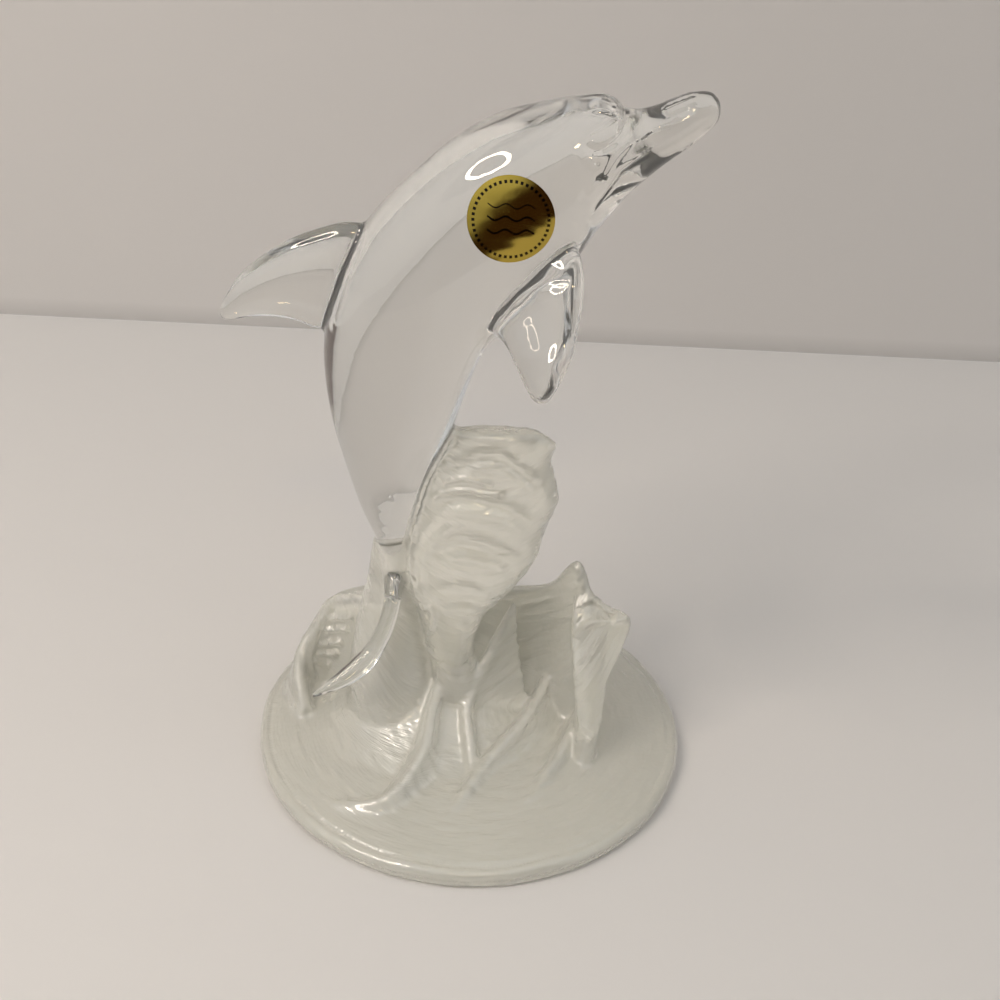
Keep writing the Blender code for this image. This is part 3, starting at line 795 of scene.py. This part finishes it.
def pressed_lines():
    """Every pressed line with its mirror image on the far side."""
    lines = []
    for height, half_width, places in [*WAVE_LINES.values(), *DOLPHIN_LINES.values()]:
        lines.append((height, half_width, places))
    for height, half_width, places in DOLPHIN_LINES.values():
        lines.append((height, half_width, [(x, -y, z) for x, y, z in places]))
    for name, (height, half_width, places) in WAVE_LINES.items():
        if name.startswith("splash"):
            lines.append((height, half_width, [(x, 2 * SPLASH_WAVE_Y - y, z) for x, y, z in places]))
    for radius, z, depth, half_width in RIM_GROOVES:
        angles = [math.tau * i / RIM_GROOVE_SIDES for i in range(RIM_GROOVE_SIDES + 1)]
        places = [(radius * math.cos(a), radius * math.sin(a), z) for a in angles]
        lines.append((depth, half_width, places))
    for side in (1, -1):
        x, y, z = EYE
        for shape in (EYE_SWELL, EYE_PIT):
            lines.append((*shape, [(x, side * y, z), (x, side * y, z + EYE_LENGTH)]))
        x, y, z = MELON
        lines.append((*MELON_SWELL, [(x, side * y, z), (x, 0, z + MELON_RISE)]))
    return lines


def near_line(places, points, reach):
    """Rows within reach of a smooth line: their distances, shares of its length and heights over it."""
    dense = np.array(spline_rows(points, PLACES_PER_POINT * len(points)))
    low = dense.min(axis=0) - reach
    high = dense.max(axis=0) + reach
    rows = np.nonzero(((places > low) & (places < high)).all(axis=1))[0]
    if not len(rows):
        return rows, np.empty(0), np.empty(0), np.empty(0)
    apart = np.linalg.norm(places[rows][:, None, :] - dense[None], axis=2)
    nearest = apart.argmin(axis=1)
    distance = apart.min(axis=1)
    close = distance < reach
    above = places[rows][:, 2] - dense[nearest][:, 2]
    return rows[close], distance[close], nearest[close] / (len(dense) - 1), above[close]


def fading_ends(share):
    """1 along a line, and down to 0 at both of its ends."""
    return np.minimum(1, np.sin(np.pi * np.clip(share, 0, 1)) * FADE_STEEPNESS) ** FADE_ROUNDNESS


def split_along(piece, lines):
    """Faces near the lines are divided, so that they can carry their shape."""
    places = vertex_rows(piece, "co") / MM
    chosen = np.zeros(len(places), dtype=bool)
    for _, half_width, points in lines:
        chosen[near_line(places, points, half_width)[0]] = True
    split_faces(piece, chosen)


def split_faces(piece, chosen):
    """The faces that have a chosen vertex are divided once."""
    flags = [any(chosen[i] for i in face.vertices) for face in piece.data.polygons]
    only(piece)
    bpy.ops.object.mode_set(mode="EDIT")
    bpy.ops.mesh.select_mode(type="FACE")
    bpy.ops.mesh.select_all(action="DESELECT")
    bpy.ops.object.mode_set(mode="OBJECT")
    piece.data.polygons.foreach_set("select", flags)
    bpy.ops.object.mode_set(mode="EDIT")
    bpy.ops.mesh.subdivide(number_cuts=1)
    bpy.ops.mesh.select_all(action="SELECT")
    bpy.ops.mesh.quads_convert_to_tris()
    bpy.ops.mesh.select_mode(type="VERT")
    bpy.ops.object.mode_set(mode="OBJECT")


def frost_field(piece, dolphin_tree, wave_tree):
    """How much nearer each vertex lies to the waves than to the dolphin, in millimetres."""
    values = np.array([
        dolphin_tree.find_nearest(vertex.co)[3] - wave_tree.find_nearest(vertex.co)[3]
        for vertex in piece.data.vertices
    ]) / MM
    ends = np.empty(len(piece.data.edges) * 2, dtype=np.int64)
    piece.data.edges.foreach_get("vertices", ends)
    first, second = ends.reshape(-1, 2).T
    for _ in range(FROST_SMOOTHING):
        total = values.copy()
        count = np.ones(len(values))
        np.add.at(total, first, values[second])
        np.add.at(total, second, values[first])
        np.add.at(count, first, 1)
        np.add.at(count, second, 1)
        values = total / count
    heights = vertex_rows(piece, "co")[:, 2] / MM
    return values + SPLASH_RIM_FROST * np.clip((heights - SPLASH_RIM_FOOT) / SPLASH_RIM_CHANGE, 0, 1)


def lift_vertices(piece, lift):
    """Vertices move along their normals, but never below the ground."""
    places = vertex_rows(piece, "co") / MM
    lift[places[:, 2] < 0.05] = 0
    moved = places + vertex_rows(piece, "normal") * lift[:, None]
    moved[:, 2] = np.maximum(moved[:, 2], 0)
    piece.data.vertices.foreach_set("co", (moved * MM).ravel())
    piece.data.update()


def press_ripples(piece, frost):
    """The frosted glass is uneven all over."""
    places = vertex_rows(piece, "co") / MM
    lift = np.zeros(len(places))
    for row in np.nonzero(frost > RIPPLE_START)[0]:
        lift[row] = ripple(*places[row]) * min(1, frost[row])
    lift_vertices(piece, lift)


def press_lines(piece, lines):
    """Raised lines and grooves, and the steps of the splash wave on both of its faces."""
    places = vertex_rows(piece, "co") / MM
    lift = np.zeros(len(places))
    for height, half_width, points in lines:
        rows, distance, share, _ = near_line(places, points, half_width * DETAIL_REACH)
        if math.dist(points[0], points[-1]) > half_width:
            height = height * fading_ends(share)
        lift[rows] += height * np.exp(-(distance / half_width) ** 2)
    for depth, half_width, points in WAVE_STEPS:
        for side in (1, -1):
            turned = [(x, SPLASH_WAVE_Y + side * (y - SPLASH_WAVE_Y), z) for x, y, z in points]
            rows, distance, share, above = near_line(places, turned, half_width * DETAIL_REACH)
            fall = np.exp(-(distance / half_width) ** 2) * fading_ends(share)
            lift[rows] -= 2 * depth * above / half_width * fall
    lift_vertices(piece, lift)


def along_and_across(x, y, z):
    """Place by the drawn grain: round the middle on the base, and in arcs along the waves above it."""
    share = min(max((z - GRAIN_LOW) / GRAIN_CHANGE, 0), 1)
    on_base = Vector((math.atan2(x, -y) * BASE_RADIUS, math.hypot(x, y), 0))
    on_waves = Vector((x, z - ARC_FALL * (x - ARC_MIDDLE) ** 2, y))
    return on_base, on_waves, share


def ripple(x, y, z):
    """Ripples that are long along the grain and short across it, with a few round dents."""
    on_base, on_waves, share = along_and_across(x, y, z)
    base = noise.noise((on_base.x / BASE_RIPPLE[0], on_base.y / BASE_RIPPLE[1], 0))
    length, depth, rise = WAVE_RIPPLE
    waves = noise.noise((on_waves.x / length, on_waves.z / depth + WAVE_RIPPLE_PLACE, on_waves.y / rise))
    dents = noise.noise((x / DENT_WIDTH, y / DENT_WIDTH, z / DENT_WIDTH))
    return RIPPLE_HEIGHT * (base * (1 - share) + waves * share + DENT_SHARE * dents)


def draw_grain(piece):
    """Every vertex keeps its place along and across the grain, for the streaks of the finish."""
    places = vertex_rows(piece, "co") / MM
    rows = []
    for x, y, z in places:
        on_base, on_waves, share = along_and_across(x, y, z)
        rows.append(on_base.lerp(on_waves, share))
    grain = piece.data.attributes.new("grain", "FLOAT_VECTOR", "POINT")
    grain.data.foreach_set("vector", np.array(rows).ravel())


def give_finishes(piece, frost, clear, frosted):
    """Clear where a face lies on the dolphin, frosted where it lies on the waves or the base."""
    piece.data.materials.clear()
    piece.data.materials.append(clear)
    piece.data.materials.append(frosted)
    for face in piece.data.polygons:
        face.use_smooth = True
        mean = sum(frost[i] for i in face.vertices) / len(face.vertices)
        face.material_index = 1 if mean > FROST_EDGE else 0


def ground_edge(piece):
    """The edge of the ground underside stays crisp."""
    for edge in piece.data.edges:
        ends = [piece.data.vertices[i].co.z for i in edge.vertices]
        edge.use_edge_sharp = max(ends) < 0.01 * MM


def build_glass(clear, frosted):
    base = base_form()
    dolphin = dolphin_forms()
    waves = wave_forms()
    dolphin_tree = surface_tree(dolphin)
    wave_tree = surface_tree([base, *waves])
    mould(base, dolphin + waves)
    base.name = "moulded_glass"
    lines = pressed_lines()
    frost = frost_field(base, dolphin_tree, wave_tree)
    press_ripples(base, frost)
    plain = away_from(vertex_rows(base, "co") / MM, lines)
    thin_out(base, (frost < FROST_EDGE - SEAM_MARGIN) & plain, CLEAR_TRIANGLES)
    frost = frost_field(base, dolphin_tree, wave_tree)
    plain = away_from(vertex_rows(base, "co") / MM, lines)
    thin_out(base, (frost > FROST_EDGE + SEAM_MARGIN) & plain, FROSTED_TRIANGLES)
    split_along(base, [
        line for line in lines if line[1] < FINE_LINE_HALF_WIDTH and abs(line[0]) > FINE_LINE_HEIGHT])
    seam = np.abs(frost_field(base, dolphin_tree, wave_tree) - FROST_EDGE) < FINE_SEAM_WIDTH
    split_faces(base, seam)
    frost = frost_field(base, dolphin_tree, wave_tree)
    press_lines(base, lines)
    draw_grain(base)
    give_finishes(base, frost, clear, frosted)
    ground_edge(base)
    return base


def build_label(glass, foil):
    """Foil disc: a circle inset ring by ring, and laid on the flank along its own axis."""
    tree = BVHTree.FromPolygons(
        [vertex.co for vertex in glass.data.vertices],
        [tuple(face.vertices) for face in glass.data.polygons],
    )
    low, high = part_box("foil_label")
    outside = Vector(((low[0] + high[0]) / 2, -BASE_RADIUS * MM, (low[2] + high[2]) / 2))
    seat, facing, _, _ = tree.ray_cast(outside, Vector((0, 1, 0)))
    along = facing.cross(Vector((0, 0, 1))).normalized()
    up = along.cross(facing)
    if up.z < 0:
        up = -up
    if along.x < 0:
        along = -along
    deselect_all()
    radius = LABEL_DIAMETER / 2 * MM
    bpy.ops.mesh.primitive_circle_add(vertices=LABEL_SEGMENTS, radius=radius, fill_type="NGON")
    label = bpy.context.object
    label.name = "gold_foil_label"
    bpy.ops.object.mode_set(mode="EDIT")
    bpy.ops.mesh.select_all(action="SELECT")
    for _ in range(LABEL_RINGS - 1):
        bpy.ops.mesh.inset(thickness=radius / LABEL_RINGS)
    bpy.ops.mesh.poke()
    bpy.ops.object.mode_set(mode="OBJECT")
    flat = [Vector((vertex.co.x, vertex.co.y)) for vertex in label.data.vertices]
    sheet = label.data.uv_layers.new(name="sheet")
    for loop in label.data.loops:
        sheet.data[loop.index].uv = flat[loop.vertex_index] / (2 * radius) + Vector((0.5, 0.5))
    for vertex, place in zip(label.data.vertices, flat):
        start = seat + along * place.x + up * place.y + facing * BASE_RADIUS * MM
        hit = tree.ray_cast(start, -facing)[0]
        dent = LABEL_DENT * (1 + noise.noise((
            place.x / MM / LABEL_DENT_SIZE[0], place.y / MM / LABEL_DENT_SIZE[1], 3)))
        vertex.co = hit + facing * (LABEL_GAP + dent) * MM
    only(label)
    bpy.ops.object.mode_set(mode="EDIT")
    bpy.ops.mesh.select_all(action="SELECT")
    shape = bmesh.from_edit_mesh(label.data)
    shape.normal_update()
    if sum((face.normal for face in shape.faces), Vector()).dot(facing) < 0:
        bpy.ops.mesh.flip_normals()
    bpy.ops.object.mode_set(mode="OBJECT")
    foil_sheet = label.modifiers.new("foil", "SOLIDIFY")
    foil_sheet.thickness = LABEL_THICKNESS * MM
    foil_sheet.offset = 1.0
    apply_all(label)
    bpy.ops.object.shade_smooth_by_angle(angle=math.radians(50))
    label.data.materials.append(foil)
    return label


def new_material(name):
    material = bpy.data.materials.new(name)
    material.use_nodes = True
    nodes = material.node_tree.nodes
    return material, nodes, material.node_tree.links, nodes["Principled BSDF"]


def clear_glass():
    """Fire-polished colourless glass with the faint haze of a handled piece."""
    material, _, _, shader = new_material("clear_glass")
    shader.inputs["Base Color"].default_value = (0.975, 0.98, 0.96, 1)
    shader.inputs["Roughness"].default_value = 0.012
    shader.inputs["Transmission Weight"].default_value = 0.955
    shader.inputs["IOR"].default_value = 1.53
    return material


def frosted_glass():
    """Satin glass: milky inside, with fine drawn streaks and a grain that glitters."""
    material, nodes, links, shader = new_material("frosted_glass")
    shader.inputs["Base Color"].default_value = (1.0, 0.995, 0.92, 1)
    shader.inputs["Transmission Weight"].default_value = 0.68
    shader.inputs["Roughness"].default_value = 0.2
    shader.inputs["Coat Weight"].default_value = 1.0
    shader.inputs["Coat Roughness"].default_value = 0.09
    shader.inputs["Coat IOR"].default_value = 1.6
    shader.inputs["IOR"].default_value = 1.53
    place = nodes.new("ShaderNodeTexCoord")
    grain = nodes.new("ShaderNodeTexNoise")
    grain.inputs["Scale"].default_value = GRAIN_SCALE
    grain.inputs["Detail"].default_value = 0
    drawn = nodes.new("ShaderNodeAttribute")
    drawn.attribute_name = "grain"
    stretch = nodes.new("ShaderNodeVectorMath")
    stretch.operation = "MULTIPLY"
    stretch.inputs[1].default_value = STREAK_STRETCH
    streaks = nodes.new("ShaderNodeTexNoise")
    streaks.inputs["Scale"].default_value = STREAK_SCALE
    streaks.inputs["Detail"].default_value = 1
    streak_bump = nodes.new("ShaderNodeBump")
    streak_bump.inputs["Distance"].default_value = STREAK_DEPTH * MM
    grain_bump = nodes.new("ShaderNodeBump")
    grain_bump.inputs["Distance"].default_value = GRAIN_DEPTH * MM
    links.new(place.outputs["Object"], grain.inputs["Vector"])
    links.new(drawn.outputs["Vector"], stretch.inputs[0])
    links.new(stretch.outputs["Vector"], streaks.inputs["Vector"])
    links.new(streaks.outputs["Fac"], streak_bump.inputs["Height"])
    links.new(grain.outputs["Fac"], grain_bump.inputs["Height"])
    links.new(streak_bump.outputs["Normal"], grain_bump.inputs["Normal"])
    links.new(streak_bump.outputs["Normal"], shader.inputs["Normal"])
    links.new(grain_bump.outputs["Normal"], shader.inputs["Coat Normal"])
    return material


def gold_foil():
    """Foil with a dark print of plain lines: a ring along the rim and a few waves inside it."""
    material, nodes, links, shader = new_material("gold_foil")
    sheet = nodes.new("ShaderNodeUVMap")
    sheet.uv_map = "sheet"
    axes = nodes.new("ShaderNodeSeparateXYZ")
    links.new(sheet.outputs["UV"], axes.inputs["Vector"])

    def calculate(operation, first, second=None, third=None):
        node = nodes.new("ShaderNodeMath")
        node.operation = operation
        for socket, value in zip(node.inputs, (first, second, third)):
            if value is None:
                continue
            if isinstance(value, (int, float)):
                socket.default_value = value
            else:
                links.new(value, socket)
        return node.outputs["Value"]

    across = calculate("SUBTRACT", axes.outputs["X"], 0.5)
    upwards = calculate("SUBTRACT", axes.outputs["Y"], 0.5)
    from_middle = calculate("SQRT", calculate(
        "ADD", calculate("MULTIPLY", across, across), calculate("MULTIPLY", upwards, upwards)))
    round_rim = calculate("ARCTAN2", upwards, across)
    ring = calculate("COMPARE", from_middle, RING_RADIUS, RING_HALF_WIDTH)
    turning = calculate("SINE", calculate("MULTIPLY", round_rim, RING_MARKS))
    marks = calculate("GREATER_THAN", turning, RING_MARK_LENGTH)
    swing = calculate("SINE", calculate("MULTIPLY", across, PRINTED_WAVE_TURNS))
    height = calculate("ADD", upwards, calculate("MULTIPLY", swing, PRINTED_WAVE_SWAY))
    inside = calculate("LESS_THAN", calculate("ABSOLUTE", across), PRINTED_WAVE_REACH)
    printed = calculate("MULTIPLY", ring, marks)
    for middle, half_width in PRINTED_WAVES:
        beside = calculate("ABSOLUTE", calculate("SUBTRACT", height, middle))
        wave = calculate("MULTIPLY", calculate("LESS_THAN", beside, half_width), inside)
        printed = calculate("MAXIMUM", printed, wave)
    mix = nodes.new("ShaderNodeMix")
    mix.data_type = "RGBA"
    mix.inputs["A"].default_value = (*FOIL_COLOUR, 1)
    mix.inputs["B"].default_value = (*PRINT_COLOUR, 1)
    links.new(printed, mix.inputs["Factor"])
    links.new(mix.outputs["Result"], shader.inputs["Base Color"])
    shader.inputs["Metallic"].default_value = 1.0
    shader.inputs["Roughness"].default_value = 0.14
    return material


def direction(azimuth, elevation):
    """Unit vector to a place round the object: azimuth 0 is the camera's side."""
    a = math.radians(azimuth)
    e = math.radians(elevation)
    return Vector((math.sin(a) * math.cos(e), -math.cos(a) * math.cos(e), math.sin(e)))


def plain_material(name, colour, roughness):
    material, nodes, links, shader = new_material(name)
    shader.inputs["Base Color"].default_value = (*colour, 1)
    shader.inputs["Roughness"].default_value = roughness
    return material, nodes, links, shader


def build_stage():
    """Pale table, and a backdrop that shows only from its front, with painted shade darkening its foot.
    """
    deselect_all()
    bpy.ops.mesh.primitive_plane_add(size=1, location=(0, 0, 0))
    table = bpy.context.object
    table.name = "table"
    depth = TABLE_FRONT + TABLE_REACH
    for vertex in table.data.vertices:
        vertex.co = (vertex.co.x * 2 * TABLE_REACH * MM,
                     (vertex.co.y * depth + depth / 2 - TABLE_FRONT) * MM, -0.0001)
    material, _, _, _ = plain_material("table_top", TABLE_COLOUR, 0.55)
    table.data.materials.append(material)

    bpy.ops.mesh.primitive_plane_add(size=1, location=(0, 0, 0))
    wall = bpy.context.object
    wall.name = "backdrop"
    for vertex in wall.data.vertices:
        vertex.co = (-vertex.co.x * 2 * TABLE_REACH * MM, BACKDROP_Y * MM,
                     (vertex.co.y + 0.5) * BACKDROP_HEIGHT * MM)
    wall.data.update()
    material, nodes, links, shader = plain_material("backdrop_paint_and_foot_shade", BACKDROP_COLOUR, 0.8)
    place = nodes.new("ShaderNodeTexCoord")
    # Painted shade: the backdrop's colour falls to 0.8 of itself at the table, over its lowest few
    # millimetres, for the shade in the corner
    axes = nodes.new("ShaderNodeSeparateXYZ")
    foot = nodes.new("ShaderNodeValToRGB")
    height = nodes.new("ShaderNodeMath")
    height.operation = "DIVIDE"
    height.inputs[1].default_value = BACKDROP_SHADE_HEIGHT * MM
    foot.color_ramp.elements[0].color = (*[0.8 * value for value in BACKDROP_COLOUR], 1)
    foot.color_ramp.elements[1].color = (*BACKDROP_COLOUR, 1)
    links.new(place.outputs["Object"], axes.inputs["Vector"])
    links.new(axes.outputs["Z"], height.inputs[0])
    links.new(height.outputs["Value"], foot.inputs["Fac"])
    links.new(foot.outputs["Color"], shader.inputs["Base Color"])
    side = nodes.new("ShaderNodeNewGeometry")
    unseen = nodes.new("ShaderNodeBsdfTransparent")
    mix = nodes.new("ShaderNodeMixShader")
    links.new(side.outputs["Backfacing"], mix.inputs["Fac"])
    links.new(shader.outputs["BSDF"], mix.inputs[1])
    links.new(unseen.outputs["BSDF"], mix.inputs[2])
    links.new(mix.outputs["Shader"], nodes["Material Output"].inputs["Surface"])
    if wall.data.polygons[0].normal.y > 0:
        wall.data.flip_normals()
    wall.data.materials.append(material)


def build_lamps():
    """Round lamp tube to the upper left, and a small warm lamp above the camera."""
    towards = direction(RING_LAMP_AZIMUTH, RING_LAMP_ELEVATION)
    deselect_all()
    bpy.ops.mesh.primitive_torus_add(
        major_radius=RING_LAMP_RADIUS * MM, minor_radius=RING_LAMP_TUBE * MM,
        major_segments=64, minor_segments=12)
    ring = bpy.context.object
    ring.name = "ring_lamp"
    ring.data.transform(Matrix.Translation(towards * RING_LAMP_DISTANCE * MM))
    material, _, _, shader = new_material("lamp_tube")
    shader.inputs["Emission Color"].default_value = (*RING_LAMP_COLOUR, 1)
    shader.inputs["Emission Strength"].default_value = RING_LAMP_STRENGTH
    ring.data.materials.append(material)
    ring.visible_camera = False

    towards = direction(WARM_LAMP_AZIMUTH, WARM_LAMP_ELEVATION)
    bpy.ops.object.light_add(type="AREA", location=towards * WARM_LAMP_DISTANCE * MM)
    warm = bpy.context.object
    warm.data.shape = "DISK"
    warm.data.size = WARM_LAMP_SIZE * MM
    warm.data.energy = WARM_LAMP_POWER
    warm.data.color = WARM_LAMP_COLOUR
    warm.rotation_euler = (-towards).to_track_quat("-Z", "Y").to_euler()


def build_world():
    """Bright ceiling and pale walls, with the dim end of the room behind the camera."""
    world = bpy.data.worlds.new("room")
    bpy.context.scene.world = world
    world.use_nodes = True
    nodes = world.node_tree.nodes
    links = world.node_tree.links
    place = nodes.new("ShaderNodeTexCoord")
    axes = nodes.new("ShaderNodeSeparateXYZ")
    ramp = nodes.new("ShaderNodeValToRGB")
    half = nodes.new("ShaderNodeMapRange")
    half.inputs["From Min"].default_value = -1
    links.new(place.outputs["Generated"], axes.inputs["Vector"])
    links.new(axes.outputs["Z"], half.inputs["Value"])
    links.new(half.outputs["Result"], ramp.inputs["Fac"])
    elements = ramp.color_ramp.elements
    while len(elements) < len(ROOM_BRIGHTNESS):
        elements.new(0.5)
    for element, (position, colour) in zip(elements, ROOM_BRIGHTNESS):
        element.position = position
        element.color = (*colour, 1)
    towards = nodes.new("ShaderNodeVectorMath")
    towards.operation = "DOT_PRODUCT"
    towards.inputs[1].default_value = direction(DIM_END_AZIMUTH, DIM_END_ELEVATION)
    dim = nodes.new("ShaderNodeMapRange")
    dim.interpolation_type = "SMOOTHSTEP"
    dim.inputs["From Min"].default_value = math.cos(math.radians(DIM_END_OUTER))
    dim.inputs["From Max"].default_value = math.cos(math.radians(DIM_END_INNER))
    mix = nodes.new("ShaderNodeMix")
    mix.data_type = "RGBA"
    links.new(place.outputs["Generated"], towards.inputs[0])
    links.new(towards.outputs["Value"], dim.inputs["Value"])
    links.new(dim.outputs["Result"], mix.inputs["Factor"])
    links.new(ramp.outputs["Color"], mix.inputs["A"])
    mix.inputs["B"].default_value = (*DIM_END_COLOUR, 1)
    links.new(mix.outputs["Result"], nodes["Background"].inputs["Color"])


def build_camera():
    bpy.ops.object.camera_add(location=Vector(CAMERA_PLACE) * MM)
    camera = bpy.context.object
    tilt = Matrix.Rotation(math.radians(90 - CAMERA_PITCH), 3, "X")
    roll = Matrix.Rotation(math.radians(CAMERA_ROLL), 3, "Z")
    camera.rotation_euler = (tilt @ roll).to_euler()
    camera.data.lens = CAMERA_LENS
    camera.data.clip_start = 0.01
    bpy.context.scene.camera = camera


glass = build_glass(clear_glass(), frosted_glass())
label = build_label(glass, gold_foil())
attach(glass, "root")
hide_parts("glass_dolphin")
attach(label, "root")
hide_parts("foil_label")
build_stage()
build_lamps()
build_world()
build_camera()
bpy.context.scene.view_settings.view_transform = "Standard"
